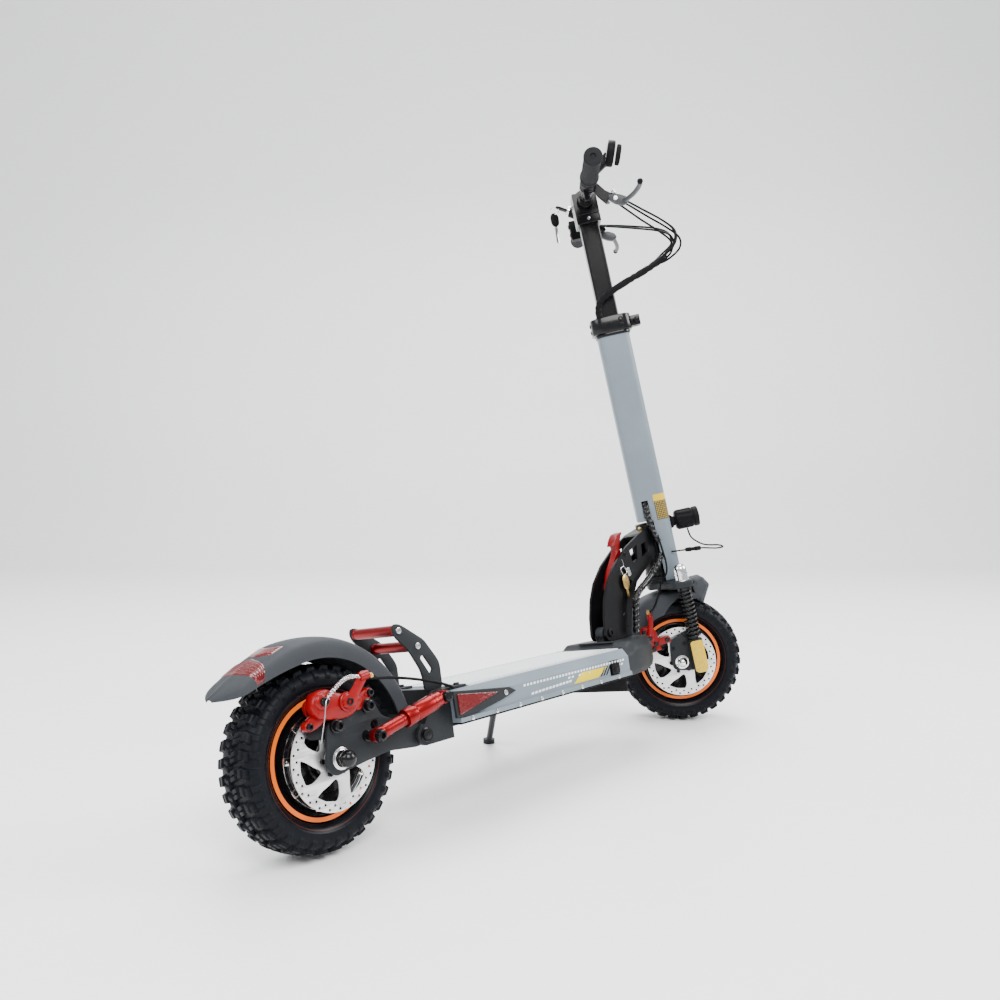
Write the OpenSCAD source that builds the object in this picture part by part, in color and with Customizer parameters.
// Electric kick scooter with ten inch tyres, a folding neck and a height-adjustable stem.
// It stands on its kickstand, leaning to the left, with the front wheel turned to the right.
// Upright frame: x forward, y left, z up, origin on the ground under the rear axle.
// Fork frame: z along the steering axis, origin level with the front axle.

/* [Wheels] */
// Distance between the axles
wheelbase = 948; // [930:1:970]
// Outer diameter of the tyres
tyre_d = 255; // [250:1:258]
// Width of the tyres
tyre_w = 80; // [70:1:84]
// Radius of the rim's outer edge
rim_r = 84; // [80:1:86]
// Diameter of the brake discs
disc_d = 140; // [136:1:142]
// Distance from the wheel's middle to the disc's middle
disc_y = 53.5; // [52.5:0.1:54]

/* [Standing] */
// Lean to the left, on the kickstand
lean = 10.3; // [10.3:0.1:10.3]
// Small nose-up tilt that brings both tyres to the ground
pitch = 0.04; // [0:0.02:0.1]
// Height added so that the tyres touch the ground
lift = 1.83; // [1.5:0.01:2.2]
// Rake of the steering axis
rake = 7.1; // [6.5:0.1:7.5]
// Turn of the front wheel at rest, negative to the right
turn_rest = -50.5; // [-55:0.5:0]

/* [Deck] */
// Rear end of the deck
deck_x0 = 206; // [204:1:210]
// Front end of the deck extrusion
deck_x1 = 650; // [640:1:655]
// Half width of the deck at its sides
deck_half = 89; // [88:1:90]
// Height of the deck's top
deck_top = 182; // [181:1:183]
// Wall of the deck extrusion
deck_wall = 4; // [3:0.5:5]

/* [Front] */
// Length of the stem tube's section, front to back
stem_l = 66; // [62:1:68]
// Width of the stem tube's section
stem_w = 56; // [54:1:58]
// Stem tube's middle in front of the steering axis
stem_x = 14.5; // [13:0.5:16]
// Height of the handlebar along the steering axis
bar_z = 970; // [960:1:980]
// Half length of the handlebar
bar_half = 300; // [290:1:305]
// Distance of the fork legs from the middle
leg_y = 72; // [71:1:74]
// Distance of the fork legs in front of the steering axis
leg_x = 38; // [36:1:40]

/* [Hidden] */
$fn = 48;
axle_z = tyre_d / 2;
steer_x = wheelbase - 4;
// Middle of the standing scooter's footprint, which becomes the origin
origin_x = 471.61;
origin_y = 147.96;
// Pivots in the upright frame, as x and z
arm_pivot = [150, 128];
shock_front = [179, 177.4];
shock_rear = [48, 148];
shock_y = 88;
fold_pin = [702, 208];
lever_pin = [786, 354];
kick_pivot = [476, 94, 112];
kick_foot = [538, 181, 34.5];
// Front axle in the fork frame, in front of the steering axis
axle_x = 4;
fit = 0.05;
// Colours
grey_blue = [0.50, 0.56, 0.61];
dark_grey = [0.25, 0.26, 0.27];
black = [0.06, 0.06, 0.07];
red = [0.75, 0.06, 0.08];
silver = [0.78, 0.79, 0.80];
orange = [0.95, 0.45, 0.10];
yellow = [0.95, 0.85, 0.05];

// Routes of the cables: fork frame for the front ones, upright frame for the deck ones
bundle_route = [[48, -112, 952], [78, -88, 938], [118, -60, 912], [154, -42, 886],
    [176, -34, 862], [172, -34, 838], [146, -36, 818], [108, -38, 802], [66, -39, 788],
    [28, -39, 774], [4, -35, 762], [-6, -30, 746], [-8, -26, 722]];
left_route = [[50, 112, 948], [82, 84, 932], [120, 46, 910], [152, 8, 888],
    [170, -20, 866], [170, -26, 842], [146, -26, 828], [112, -28, 812], [70, -31, 798]];
stem_loom_route = [[2, -21, 330], [2, -29, 322], [2, -34.5, 306], [3, -35.5, 285],
    [7, -35.5, 262], [12, -34.8, 247]];
neck_loom_route = [[892, -35, 346], [884, -35, 336], [868, -35, 322],
    [850, -35, 309], [824, -35, 294], [798, -35, 281], [786, -35, 272], [779, -35, 262],
    [775, -35, 248], [772, -35, 232], [768, -35, 213], [764, -35, 198.5]];
front_brake_route = [[13, -38, 262], [15, -46, 232], [16, -52, 205], [12, -55, 184],
    [-2, -56, 168], [-10, -56, 150], [-26, -56, 122], [-40, -62, 112], [-44, -66, 107]];
rear_brake_route = [[48, -81, 226], [66, -80, 223], [90, -79, 220], [116, -79, 215],
    [142, -79, 209], [164, -79, 203], [184, -79, 197], [200, -79, 191], [211, -79, 185.6]];
headlight_route = [[80, -6, 261], [84, -12, 240], [104, -20, 222], [134, -22, 214],
    [142, -16, 208], [128, -12, 208], [96, -22, 216], [60, -32, 220], [34, -32, 222]];

// ---- frames and shared shapes ----

// From the upright frame to the standing one
module stand()
    translate([-origin_x, -origin_y, lift]) rotate([0, pitch, 0]) rotate([-lean, 0, 0]) children();

// From the fork frame, unturned, to the standing one
module neck_frame()
    stand() translate([steer_x, 0, axle_z]) rotate([0, -rake, 0]) children();

// From the fork frame, turned as at rest, to the standing one
module fork_frame() neck_frame() rotate([0, 0, turn_rest]) children();

module both_sides() {
    children();
    mirror([0, 1, 0]) children();
}

// Cylinder along y, with its middle at the given point
module rod_y(p, r, h, sides = 48) translate(p) rotate([90, 0, 0]) cylinder(r = r, h = h, center = true, $fn = sides);

// Cylinder along x, with its middle at the given point
module rod_x(p, r, h) translate(p) rotate([0, 90, 0]) cylinder(r = r, h = h, center = true);

// Plate with the outline's x and z, from y0 to y1
module plate(y0, y1) translate([0, y1, 0]) rotate([90, 0, 0]) linear_extrude(y1 - y0) children();

module box(low, high) translate(low) cube(high - low);

module round_rect(l, w, r) {
    square([l - 2 * r, w], center = true);
    square([l, w - 2 * r], center = true);
    for (sx = [-1, 1], sy = [-1, 1]) translate([sx * (l / 2 - r), sy * (w / 2 - r)]) circle(r);
}

// Bolt along y with a socket head that faces dir
module socket_bolt(p, head_r, head_h, shank_r, shank_h, dir) {
    translate(p) rotate([-90 * dir, 0, 0]) {
        difference() {
            cylinder(r = head_r, h = head_h);
            translate([0, 0, head_h / 2]) cylinder(r = head_r * 0.5, h = head_h, $fn = 6);
        }
        if (shank_h > 0) translate([0, 0, -shank_h]) cylinder(r = shank_r, h = shank_h + 0.01);
    }
}

// Rounded tube along a list of points
function unit(v) = v / norm(v);
function heading(p, i) = unit(p[min(i + 1, len(p) - 1)] - p[max(i - 1, 0)]);
function side_of(d) = unit(cross(d, abs(d[2]) < 0.9 ? [0, 0, 1] : [1, 0, 0]));
module tube(p, r, sides = 8) {
    rings = [for (i = [0:len(p) - 1]) let (d = heading(p, i), s = side_of(d), u = cross(s, d))
        for (k = [0:sides - 1]) p[i] + r * (cos(360 * k / sides) * s + sin(360 * k / sides) * u)];
    walls = [for (i = [0:len(p) - 2], k = [0:sides - 1])
        [i * sides + k, i * sides + (k + 1) % sides, (i + 1) * sides + (k + 1) % sides, (i + 1) * sides + k]];
    first = [for (k = [0:sides - 1]) sides - 1 - k];
    last = [for (k = [0:sides - 1]) (len(p) - 1) * sides + k];
    polyhedron(rings, concat(walls, [first, last]));
}

// ---- wheels, about the y axis at the origin ----

tyre_half = tyre_w / 2;
module tyre_shape() rotate([90, 0, 0]) rotate_extrude($fn = 96) polygon([
    [rim_r + 1, -28], [92, -33], [104, -tyre_half + 1], [112, -tyre_half],
    [119, -36], [124.5, -26], [127, -13], [axle_z, 0], [127, 13], [124.5, 26],
    [119, 36], [112, tyre_half], [104, tyre_half - 1], [92, 33], [rim_r + 1, 28],
    [86, 22], [86, -22]]);

module rim_shape(hub_r, hub_half, web_r) rotate([90, 0, 0]) difference() {
    rotate_extrude($fn = 96) polygon([[6 + fit, -hub_half], [hub_r, -hub_half], [web_r, -20],
        [76, -22], [77, -28], [rim_r, -28], [rim_r, -26], [85.8, -21.8], [85.8, 21.8], [rim_r, 26],
        [rim_r, 28], [77, 28], [76, 22], [web_r, 20], [hub_r, hub_half], [6 + fit, hub_half]]);
}

module disc_shape() rotate([90, 0, 0]) difference() {
    cylinder(r = disc_d / 2, h = 2, center = true, $fn = 96);
    cylinder(r = 20, h = 3, center = true);
    for (k = [0:23]) rotate(k * 15) translate([64, 0, 0]) cylinder(r = 1.8, h = 3, center = true, $fn = 16);
    for (k = [0:23]) rotate(k * 15 + 7.5) translate([57, 0, 0]) cylinder(r = 1.8, h = 3, center = true, $fn = 16);
    for (k = [0:5]) rotate(k * 60) translate([0, 0, -2]) linear_extrude(4)
        polygon([[34, -11], [49, -13], [52, 2], [49, 12], [33, 2]]);
    for (k = [0:5]) rotate(k * 60 + 25) translate([25, 0, 0]) cylinder(r = 2.6, h = 3, center = true, $fn = 16);
}

module front_wheel_at() fork_frame() translate([axle_x, 0, 0]) children();
module rear_wheel_at() stand() translate([0, 0, axle_z]) children();

module front_tyre() color(black) front_wheel_at() tyre_shape();
module rear_tyre() color(black) rear_wheel_at() tyre_shape();
module front_rim() color(black) front_wheel_at() {
    rim_shape(24, 34, 40);
    rotate([90, 0, 0]) difference() {
        translate([0, 0, 34]) cylinder(r = 30, h = disc_y - 1 - 34);
        cylinder(r = 6 + fit, h = 200, center = true);
    }
}
module rear_motor_rim() color(black) rear_wheel_at() {
    rim_shape(62, 36, 66);
    rotate([90, 0, 0]) difference() {
        translate([0, 0, 36]) cylinder(r = 30, h = disc_y - 1 - 36);
        cylinder(r = 6 + fit, h = 200, center = true);
    }
}
module front_disc() color(silver) front_wheel_at() translate([0, -disc_y, 0]) disc_shape();
module rear_disc() color(silver) rear_wheel_at() translate([0, -disc_y, 0]) disc_shape();

// ---- deck ----

deck_edge = [[78, deck_top], [deck_half, 168], [deck_half, 142], [93, 140], [93, 134]];
module across(x0, x1) translate([x0, 0, 0]) rotate([90, 0, 90]) linear_extrude(x1 - x0) children();
function mirrored(side) = concat(side, [for (i = [len(side) - 1:-1:0]) [-side[i][0], side[i][1]]]);

module deck_shell() color(grey_blue) stand() difference() {
    across(deck_x0, deck_x1) polygon(mirrored(deck_edge));
    across(deck_x0 + deck_wall, deck_x1 - deck_wall)
        polygon(mirrored([[76, deck_top - deck_wall], [deck_half - deck_wall, 166], [deck_half - deck_wall, 130]]));
    for (x = [230:54:608], s = [-1, 1]) rod_y([x, s * 91, 137], 1.9, 12, 16);
    box([590, -93, 141], [618, -80, 167]);
}

module deck_mat() color([0.85, 0.86, 0.87]) stand() {
    box([248, -58, deck_top], [640, 58, deck_top + 2]);
    both_sides() box([248, 59, deck_top], [640, 75, deck_top + 2]);
}

module bottom_cover() color(black) stand() {
    box([deck_x0, -92, 131], [deck_x1, 92, 134]);
    box([deck_x0, -70, 128], [deck_x1, 70, 131]);
}

module deck_screws() color(silver) stand() for (x = [230:54:608])
    both_sides() socket_bolt([x, 93, 137], 3.2, 2.4, 1.8, 5, 1);

module battery_pack() color([0.2, 0.35, 0.6]) stand() box([226, -64, 136], [560, 64, 174]);
module motor_controller() color(silver) stand() box([570, -50, 136], [642, 50, 170]);

module nose_casting() color(dark_grey) stand() {
    intersection() {
        translate([0, 0, 100]) linear_extrude(100) polygon([[deck_x1, -deck_half], [700, -88], [752, -76],
            [790, -54], [806, -34], [808, 0], [806, 34], [790, 54], [752, 76], [700, 88], [deck_x1, deck_half]]);
        plate(-100, 100) polygon([[deck_x1, 128], [deck_x1, 183], [672, 184], [676, 192], [800, 192],
            [808, 180], [808, 150], [796, 140], [740, 133], [690, 128]]);
    }
    difference() {
        plate(-9, 9) union() {
            translate(fold_pin) circle(13);
            polygon([[fold_pin[0] - 13, 190], [fold_pin[0] - 13, fold_pin[1]], [fold_pin[0] + 13, fold_pin[1]],
                [fold_pin[0] + 13, 190]]);
        }
        rod_y([fold_pin[0], 0, fold_pin[1]], 5 + fit, 40);
    }
}

module side_covers() color(dark_grey) stand() both_sides() plate(deck_half, 94)
    polygon([[198, 142], [196, 182], [318, 168], [334, 160], [300, 152], [240, 142]]);

module side_reflectors() color(red) stand() both_sides() plate(94, 96.5)
    polygon([[206, 147], [205, 175], [288, 165]]);

module charge_cap() color(black) stand() {
    box([592, -92.5, 143], [616, -89.4, 163]);
    rod_y([604, -87.4, 152], 6.5, 4);
}

module rear_bracket() color(dark_grey) stand() {
    difference() {
        union() {
            both_sides() plate(68.5, 74.5) union() {
                translate(arm_pivot) circle(15);
                translate(shock_front) circle(10);
                polygon([[arm_pivot[0], 113], [206, 113], [206, 186], [180, 187], [150, 143]]);
            }
            box([196, -68.5, 113], [206, 68.5, 186]);
        }
        rod_y([arm_pivot[0], 0, arm_pivot[1]], 6 + fit, 200);
        rod_y([shock_front[0], 0, shock_front[1]], 4 + fit, 200);
    }
}

// ---- rear footrest ----

rest_top = [141, 281];
rest_low = [175, 254];
module footrest_plates() color(dark_grey) stand() both_sides() difference() {
    union() {
        plate(47, 51) difference() {
            union() {
                translate(rest_top) circle(11);
                polygon([[131, 276], [151, 287], [186, 262], [214, 226], [216, 190], [180, 190],
                    [178, 214], [160, 250]]);
            }
            polygon([[178, 236], [186, 240], [202, 216], [196, 208]]);
        }
        box([206, 47, 182], [244, 74, 186.4]);
        box([206, 47, 182], [216, 51, 200]);
    }
    rod_y([rest_top[0], 49, rest_top[1]], 3, 12);
    rod_y([rest_low[0], 49, rest_low[1]], 3, 12);
}
module footrest_bars() color(red) stand() for (p = [rest_top, rest_low]) {
    rod_y([p[0], 0, p[1]], 8, 94);
    both_sides() socket_bolt([p[0], 51, p[1]], 4.5, 2.5, 2.9, 4.5, 1);
}

// ---- kickstand ----

kick_axis = unit([0, 0.6475, 0.762]);
module along(p, v) translate(p) rotate([0, acos(v[2] / norm(v)), atan2(v[1], v[0])]) children();
module kickstand() color(dark_grey) stand() difference() {
    union() {
        along(kick_pivot, kick_axis) cylinder(r = 11, h = 12, center = true);
        along(kick_pivot, kick_foot - kick_pivot) cylinder(r = 5.8, h = norm(kick_foot - kick_pivot) - 3);
        along(kick_foot, [0, -sin(lean), cos(lean)]) translate([0, 0, -3]) cylinder(r = 11, h = 8);
    }
    along(kick_pivot, kick_axis) cylinder(r = 4 + fit, h = 30, center = true);
}
module kick_bracket() along(kick_pivot, kick_axis) {
    cylinder(r = 4, h = 16, center = true);
    for (s = [-1, 1]) translate([0, 0, s * 8]) {
        cylinder(r = 10, h = 3, center = true);
        translate([s > 0 ? -17 : -32, -10, -1.5]) cube([s > 0 ? 17 : 32, 20, 3]);
    }
}

// ---- pins and bolts that the moving pieces turn on ----

module pivot_bolts() color(black) stand() {
    rod_y([fold_pin[0], 0, fold_pin[1]], 5, 37.6);
    rod_y([arm_pivot[0], 0, arm_pivot[1]], 6, 150);
    both_sides() rod_y([arm_pivot[0], 77.5, arm_pivot[1]], 9, 6);
    both_sides() rod_y([shock_front[0], 82, shock_front[1]], 4, 28);
    both_sides() rod_y([shock_front[0], 99.5, shock_front[1]], 7.5, 7);
    kick_bracket();
}

// ---- folding neck ----

// Sides of the arch, as x and z
arch_outer = [[fold_pin[0] - 15, fold_pin[1]], [690, 238], [699, 272], [716, 304], [748, 337],
    [796, 369], [848, 393], [890, 405]];
arch_inner = [[904, 350], [880, 336], [850, 318], [816, 297], [792, 263], [777, 223], [769, 193]];
arch_web = [[763, 193], [771, 225], [786, 266], [811, 302], [847, 325], [877, 342], [902, 356]];
module arch_outline() {
    polygon(concat(arch_outer, arch_inner, [[fold_pin[0], 193]]));
    translate(fold_pin) circle(15);
}
module arch_windows() {
    polygon([[752, 234], [762, 240], [776, 274], [798, 300], [788, 306], [764, 284], [752, 258]]);
    polygon([[804, 360], [832, 370], [828, 342], [810, 334]]);
    polygon([[846, 344], [870, 356], [868, 376], [848, 370]]);
}
module neck_arch() color(black) stand() difference() {
    union() {
        both_sides() plate(14, 19) difference() {
            arch_outline();
            arch_windows();
        }
        plate(-14, 14) polygon(concat(arch_inner, arch_web));
        plate(-14, 14) polygon([[838, 388.4], [848, 393], [890, 405], [891, 399], [850, 387], [840, 382.4]]);
        rod_y([lever_pin[0], 0, lever_pin[1]], 3, 30);
    }
    rod_y([fold_pin[0], 0, fold_pin[1]], 5 + fit, 60);
    translate([steer_x, 0, axle_z]) rotate([0, -rake, 0]) translate([0, 0, 150]) cylinder(r = 24, h = 200);
}
module head_tube() color(black) neck_frame() difference() {
    translate([0, 0, 178]) cylinder(r = 24, h = 112);
    cylinder(r = 15 + fit, h = 400);
}
module latch_lever() color(red) stand() plate(-7, 7) difference() {
    union() {
        translate(lever_pin) circle(7);
        polygon([[733, 289], [741, 283], [764, 318], [792, 350], [788, 361], [792, 380], [800, 395],
            [784, 392], [772, 376], [778, 364], [770, 350], [750, 326]]);
    }
    translate(lever_pin) circle(3 + fit);
}

// ---- stem and fork, in the turning fork frame ----

module stem_tube() color(grey_blue) fork_frame() difference() {
    translate([stem_x, 0, 165]) linear_extrude(693 - 165) round_rect(stem_l, stem_w, 16);
    translate([stem_x, 0, 306]) linear_extrude(400) round_rect(stem_l - 7, stem_w - 7, 12.5);
    translate([0, 0, 150]) cylinder(r = 26, h = 144);
    box([-40, -40, 150], [12, 40, 294]);
    box([-5, -30, 300], [9, -20, 336]);
    cylinder(r = 15, h = 400);
}
module stem_clamp() color(black) fork_frame() difference() {
    union() {
        translate([stem_x, 0, 693]) linear_extrude(34) round_rect(84, 66, 22);
        for (s = [-1, 1]) box([50, s * 8 - 4, 699], [76, s * 8 + 4, 721]);
    }
    translate([stem_x, 0, 690]) linear_extrude(40) round_rect(40.6, 34.6, 6);
    translate([-8, -26, 690]) cylinder(r = 6, h = 40);
    box([30, -2, 690], [60, 2, 730]);
    rod_y([68, 0, 710], 3 + fit, 60);
}
module clamp_lever() color(dark_grey) fork_frame() {
    rod_y([68, 0, 710], 3, 36);
    rod_y([68, 17.4, 710], 8, 9.6);
    box([63, 20, 704], [74, 38.5, 716]);
    box([4, 34.5, 705], [70, 38.5, 715]);
}
module fork_crown() color(dark_grey) fork_frame() {
    translate([0, 0, 150]) difference() {
        linear_extrude(14) polygon([[-26, -20], [-10, -30], [20, -88], [56, -88], [56, 88], [20, 88],
            [-10, 30], [-26, 20]]);
        for (s = [-1, 1]) translate([leg_x, s * leg_y, -1]) cylinder(r = 8, h = 20);
    }
    translate([0, 0, 164]) cylinder(r = 22, h = 6);
    box([-6, -10, 144], [14, 10, 150]);
    translate([0, 0, 164]) cylinder(r = 15, h = 142);
    for (s = [-1, 1]) translate([leg_x, s * leg_y, 0]) {
        translate([0, 0, 14]) cylinder(r = 8, h = 150.01);
        translate([0, 0, 164]) cylinder(r = 13, h = 22);
        translate([0, 0, 186]) sphere(r = 12.9);
    }
}
module front_springs() color(black) fork_frame() for (s = [-1, 1]) translate([leg_x, s * leg_y, 0])
    for (k = [0:9]) translate([0, 0, 52 + k * 10]) rotate_extrude() translate([12.3, 0]) circle(2.6, $fn = 16);
module headlight() color(black) fork_frame() {
    rod_x([82, 0, 282], 21, 46);
    rod_x([54, 0, 282], 10, 12);
    rod_x([107, 0, 282], 19, 6);
}
module front_fender() color(dark_grey) fork_frame() translate([axle_x, 0, 0]) rotate([90, 0, 0])
    difference() {
        rotate([0, 0, 42]) rotate_extrude(angle = 96, $fn = 96) polygon([[132, -47], [136, -46], [142, -40],
            [144, 0], [142, 40], [136, 46], [132, 47], [132, 45], [134, 43], [139.5, 38], [141.5, 0],
            [139.5, -38], [134, -43], [132, -45]]);
    }
module fork_lowers() color(black) fork_frame() {
    both_sides() difference() {
        union() {
            translate([leg_x, leg_y, -24]) cylinder(r = 12.5, h = 68);
            plate(58, 63) polygon([[-16, -14], [-12, 46], [14, 56], [22, 46], [leg_x, 46], [leg_x, -24], [8, -20]]);
            plate(60, 66) polygon([[26, -20], [26, 44], [leg_x, 44], [leg_x, -20]]);
        }
        translate([leg_x, leg_y, 0]) cylinder(r = 8 + fit, h = 60);
        rod_y([axle_x, 60, 0], 6, 30);
    }
}
module front_axle() color(silver) fork_frame() {
    rod_y([axle_x, 0, 0], 6, 136);
    both_sides() rod_y([axle_x, 65.5, 0], 9.5, 5);
    both_sides() translate([axle_x, 69.4, 0]) sphere(r = 8.3);
}
module leg_reflectors() color(yellow) fork_frame() both_sides()
    box([leg_x - 13, 84.5, -24], [leg_x + 12, 87.5, 40]);
module front_caliper() color(red) fork_frame() {
    box([-66, -50, 40], [-34, -41, 84]);
    box([-66, -68, 40], [-34, -57, 84]);
    box([-66, -68, 72], [-58, -41, 84]);
    box([-34, -63, 44], [-12, -58, 56]);
}
module front_caliper_arm() color(red) fork_frame() {
    rod_y([-50, -70.8, 62], 7, 5);
    plate(-73, -69) polygon([[-54, 62], [-46, 62], [-36, 104], [-44, 106]]);
}

// ---- swingarm and its parts ----

module swingarm() color(dark_grey) stand() difference() {
    union() {
        both_sides() plate(61, 67.5) difference() {
            union() {
                polygon([[-28, 118], [-12, 104], [20, 113], [84, 121], [142, 116], [161, 120], [161, 140],
                    [104, 158], [74, 168], [66, 194], [52, 201], [40, 196], [8, 180], [-10, 184], [-18, 172],
                    [-24, 142]]);
                translate(arm_pivot) circle(12);
            }
            translate([64, 160]) circle(7);
        }
        rod_y([arm_pivot[0], 0, arm_pivot[1]], 11, 123);
    }
    rod_y([arm_pivot[0], 0, arm_pivot[1]], 6 + fit, 200);
    rod_y([0, 0, axle_z], 6, 200);
}
module rear_axle() color(silver) stand() {
    rod_y([0, 0, axle_z], 6, 150);
    both_sides() rod_y([0, 69, axle_z], 12, 3);
    both_sides() rod_y([0, 77.5, axle_z], 11, 14);
    both_sides() translate([0, 84, axle_z]) sphere(r = 10.8);
    both_sides() socket_bolt([52, 67.5, 188], 7, 9, 3, 0, 1);
    both_sides() socket_bolt([-4, 67.5, 171], 7, 9, 3, 0, 1);
    both_sides() rod_y([shock_rear[0], 83, shock_rear[1]], 4, 31);
    both_sides() rod_y([shock_rear[0], 99.5, shock_rear[1]], 7.5, 7);
}
module rear_fender() color(dark_grey) stand() {
    translate([0, 0, axle_z]) rotate([90, 0, 0]) rotate([0, 0, 14]) rotate_extrude(angle = 92, $fn = 96)
        polygon([[146, -45], [156, -44], [163, -36], [165, 0], [163, 36], [156, 44], [146, 45], [146, 42.5],
            [154.5, 41.5], [160.5, 34], [162.5, 0], [160.5, -34], [154.5, -41.5], [146, -42.5]]);
    plate(-36, 36) polygon([[-46, 286], [-100, 264], [-151, 232], [-154, 228], [-104, 256], [-46, 282]]);
}
module tail_light() color(red) stand() {
    plate(-37, 37) polygon([[-72, 277.6], [-104, 264.6], [-104, 270], [-72, 283]]);
}
module rear_caliper() color(red) stand() {
    box([-42, -50, 178], [28, -41, 212]);
    box([-42, -78, 190], [28, -57, 212]);
    box([-42, -78, 205], [28, -41, 212]);
}
module rear_caliper_arm() color(red) stand() {
    rod_y([14, -81.6, 200], 8, 6);
    plate(-84, -79) polygon([[8, 200], [20, 196], [46, 222], [44, 234], [36, 232]]);
}

shock_line = [shock_rear[0] - shock_front[0], 0, shock_rear[1] - shock_front[1]];
shock_len = norm(shock_line);
module shock_at() both_sides() translate([shock_front[0], -shock_y, shock_front[1]])
    along([0, 0, 0], shock_line) children();
module shock_bodies() color(red) stand() difference() {
    union() {
        shock_at() difference() {
            union() {
                translate([0, 0, 8]) cylinder(r = 12.5, h = 54);
                translate([0, 0, 62]) cylinder(r = 13.2, h = 18);
            }
            translate([0, 0, 40]) cylinder(r = 9 + fit, h = 50);
        }
        both_sides() rod_y([shock_front[0], shock_y, shock_front[1]], 10, 14);
    }
    rod_y([shock_front[0], 0, shock_front[1]], 4 + fit, 300);
}
module shock_rods() color(red) stand() difference() {
    union() {
        shock_at() translate([0, 0, 60]) cylinder(r = 9, h = shock_len - 70);
        both_sides() rod_y([shock_rear[0], shock_y, shock_rear[1]], 10, 14);
    }
    rod_y([shock_rear[0], 0, shock_rear[1]], 5.2, 300);
}

// ---- handlebar, in the turning fork frame ----

module bar_post() color(black) fork_frame() difference() {
    translate([stem_x, 0, 560]) linear_extrude(365) round_rect(40, 34, 6);
    for (s = [-1, 1]) box([stem_x - 14, s * 17 - 1.2, 560], [stem_x + 14, s * 17 + 1.2, 925]);
    translate([stem_x, 0, 555]) linear_extrude(360) round_rect(33, 27, 4);
}
module bar_clamp() color(black) fork_frame() difference() {
    union() {
        box([stem_x - 25, -27, 925], [stem_x + 25, 27, 990]);
        rod_y([stem_x, 0, bar_z], 25, 54);
    }
    rod_y([stem_x, 0, bar_z], 15.9, 60);
    box([stem_x - 40, -30, 942], [stem_x + 40, 30, 943.2]);
}
module handlebar() color(black) fork_frame() {
    rod_y([stem_x, 0, bar_z], 15.9, 90);
    rod_y([stem_x, 0, bar_z], 11.1, 2 * bar_half - 8);
}
module grips() color([0.2, 0.2, 0.21]) fork_frame() both_sides() difference() {
    union() {
        rod_y([stem_x, bar_half - 60, bar_z], 16.5, 120);
        rod_y([stem_x, bar_half - 3, bar_z], 17.5, 6);
        rod_y([stem_x, bar_half - 118, bar_z], 18.5, 8);
    }
    rod_y([stem_x, bar_half - 67, bar_z], 11.1, 126);
}
module display() color(black) fork_frame() {
    difference() {
        rod_y([stem_x, -160, bar_z], 16.5, 22);
        rod_y([stem_x, -160, bar_z], 11.1, 30);
    }
    plate(-171, -149) polygon([[20, 984], [30, 978], [64, 1000], [56, 1014]]);
    translate([66, -160, 1012]) rotate([0, -70, 0]) cylinder(r = 25, h = 16, center = true);
    translate([80, -160, 1006]) rotate([0, -70, 0]) cylinder(r = 20, h = 10, center = true);
}
module throttle_lever() color(dark_grey) fork_frame() {
    difference() {
        rod_y([stem_x, -143.5, bar_z], 16.5, 9);
        rod_y([stem_x, -143.5, bar_z], 11.1 + fit, 20);
    }
    box([2, -148, 938], [10, -139, 958]);
}
module brake_brackets() color(dark_grey) fork_frame() both_sides() {
    difference() {
        rod_y([stem_x, 122, bar_z], 16, 14);
        rod_y([stem_x, 122, bar_z], 11.1, 30);
    }
    plate(115, 129) difference() {
        polygon([[24, 962], [30, 948], [44, 930], [60, 928], [62, 942], [46, 954], [30, 976]]);
        polygon([[44, 934], [54, 927], [64, 930], [64, 938]]);
    }
}
module lever_blade() {
    plate(132, 144) polygon([[48, 940], [52, 926], [74, 916], [86, 922], [70, 936]]);
    along([78, 138, 922], [14, 72, -4]) cylinder(r = 4.6, h = 74);
    along([92, 208, 918], [2, 58, 0]) cylinder(r = 4.6, h = 58);
}
module right_brake_lever() color([0.45, 0.46, 0.47]) fork_frame() mirror([0, 1, 0]) lever_blade();
module left_brake_lever() color([0.45, 0.46, 0.47]) fork_frame() lever_blade();
module lock_at() translate([stem_x, 86, bar_z]) rotate([0, -58, 0]) children();
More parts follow.
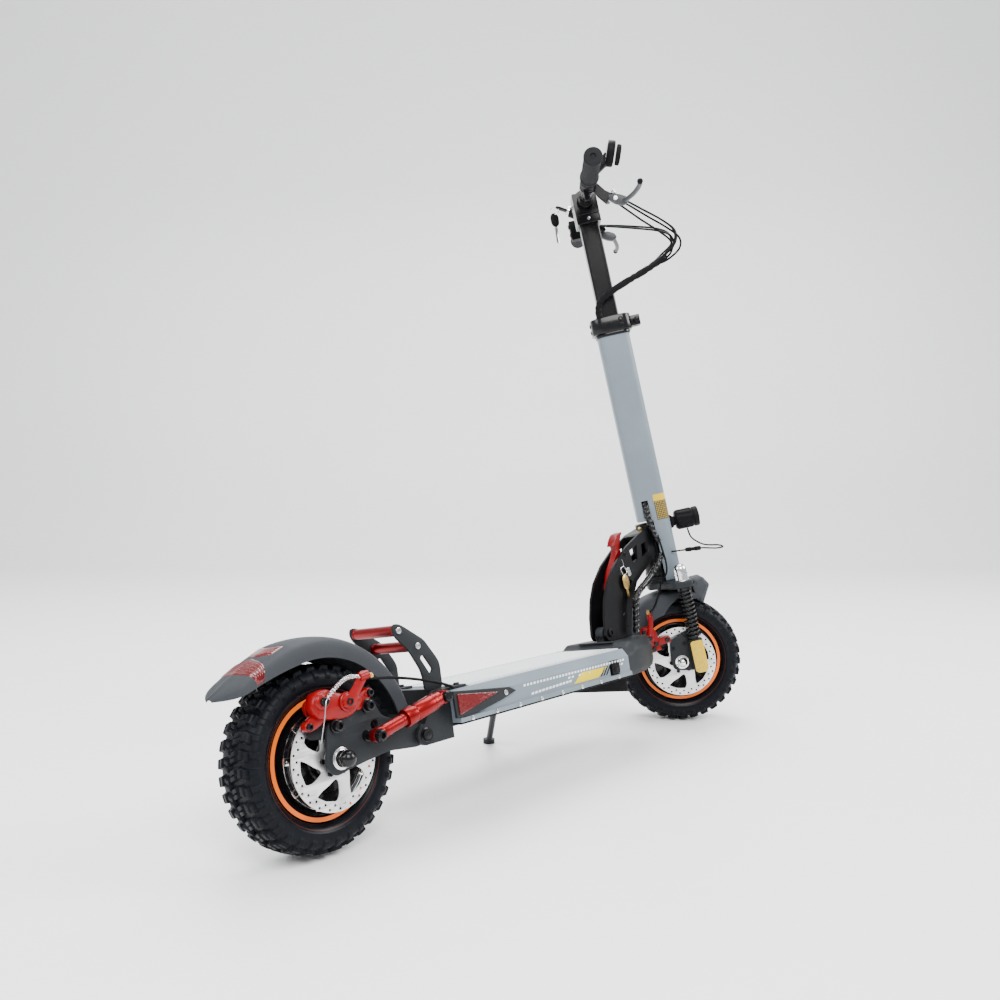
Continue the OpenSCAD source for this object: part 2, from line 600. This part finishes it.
module control_pod() color(black) fork_frame() {
    difference() {
        union() {
            box([-12, 142, 938], [20, 166, 980]);
            rod_y([stem_x, 154, bar_z], 16, 23);
        }
        rod_y([stem_x, 154, bar_z], 11.1, 100);
        rod_x([-12, 154, 951], 4.5, 8);
    }
    difference() {
        union() {
            rod_y([stem_x, 86, bar_z], 16, 23);
            lock_at() cylinder(r = 11, h = 34);
        }
        rod_y([stem_x, 86, bar_z], 11.1, 100);
        lock_at() translate([0, 0, 26]) cylinder(r = 3, h = 20);
    }
}
module horn_button() color(red) fork_frame() rod_x([-12.5, 154, 951], 4.2, 5);
module ignition_key() color(silver) fork_frame() lock_at() {
    translate([0, 0, 28]) cylinder(r = 2.8, h = 9);
    translate([-1.2, -8, 37]) cube([2.4, 16, 18]);
}

// ---- cables ----

module bar_cables() color(black) fork_frame() {
    tube(bundle_route, 5);
    tube(left_route, 4);
}
module front_cables() color(black) fork_frame() {
    tube(stem_loom_route, 5);
    tube(front_brake_route, 2);
    tube(headlight_route, 1.8);
}
module neck_loom() color(black) stand() tube(neck_loom_route, 5);
module rear_brake_cable() color(black) stand() tube(rear_brake_route, 2.2);

deck_shell();
deck_mat();
bottom_cover();
deck_screws();
battery_pack();
motor_controller();
nose_casting();
side_covers();
side_reflectors();
charge_cap();
rear_bracket();
pivot_bolts();
footrest_plates();
footrest_bars();
kickstand();
neck_arch();
head_tube();
latch_lever();
neck_loom();
stem_tube();
stem_clamp();
clamp_lever();
fork_crown();
front_springs();
headlight();
front_fender();
front_cables();
fork_lowers();
front_axle();
leg_reflectors();
front_caliper();
front_caliper_arm();
front_tyre();
front_rim();
front_disc();
swingarm();
rear_fender();
tail_light();
rear_axle();
rear_caliper();
rear_caliper_arm();
rear_brake_cable();
rear_tyre();
rear_motor_rim();
rear_disc();
shock_bodies();
shock_rods();
bar_post();
bar_clamp();
handlebar();
grips();
display();
throttle_lever();
brake_brackets();
right_brake_lever();
left_brake_lever();
control_pod();
horn_button();
ignition_key();
bar_cables();
